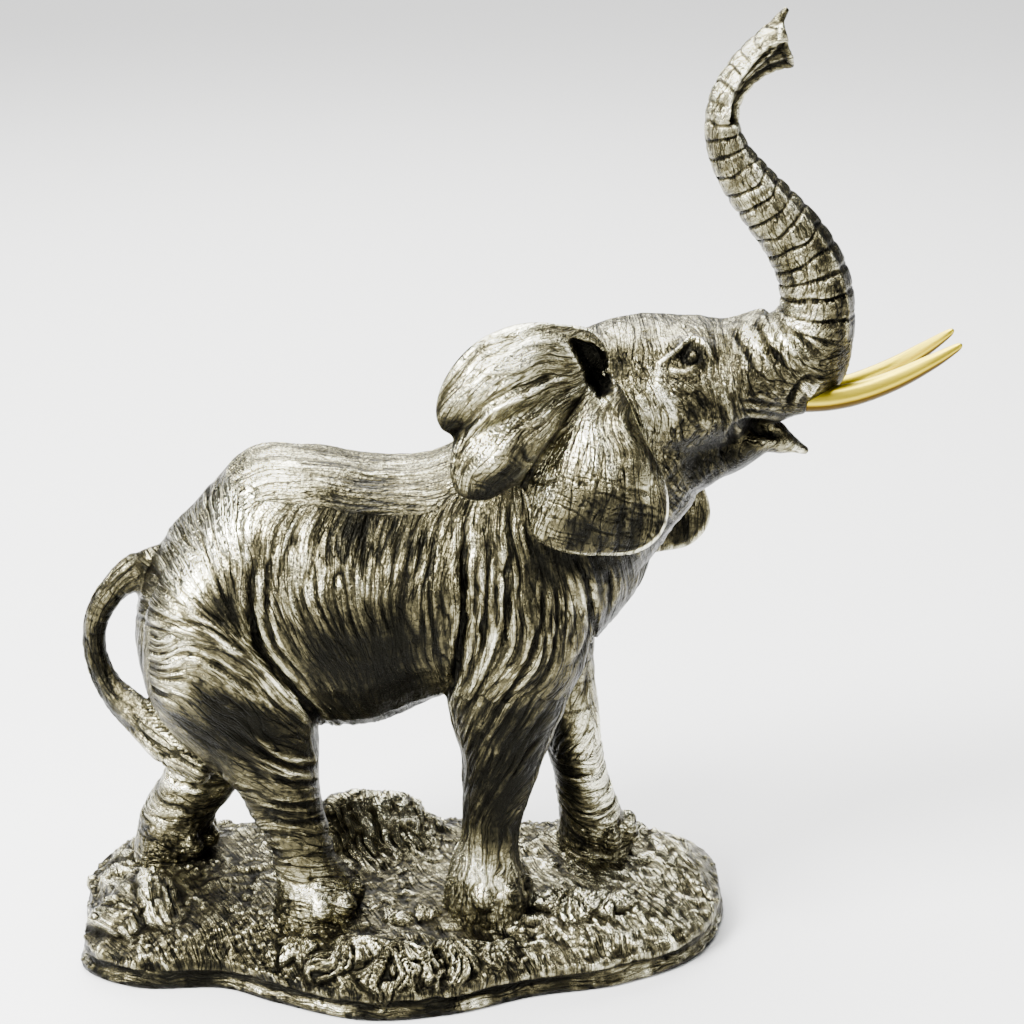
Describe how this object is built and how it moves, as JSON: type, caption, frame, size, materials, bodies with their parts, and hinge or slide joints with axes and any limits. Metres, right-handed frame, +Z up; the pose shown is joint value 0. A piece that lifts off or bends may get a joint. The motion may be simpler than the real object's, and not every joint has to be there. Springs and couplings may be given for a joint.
{
  "type": "elephant statue",
  "caption": "Tabletop figure of an elephant walking with its trunk raised, cast with a rocky ground in bronze finish, with separate gold tusks.",
  "frame": {"origin": "on the flat underside of the ground, about its middle, below the elephant's middle plane", "axes": "+X toward the elephant's head, +Y toward its left side, +Z up"},
  "size_m": [0.2684, 0.1117, 0.2913],
  "materials": {
    "bronze": "polished antique bronze, near-black in the folds",
    "gold_tusk": "smooth satin gold"
  },
  "bodies": {
    "root": {"elephant_on_rocky_ground": "bronze", "tusk_right": "gold_tusk", "tusk_left": "gold_tusk"}
  },
  "joints": []
}
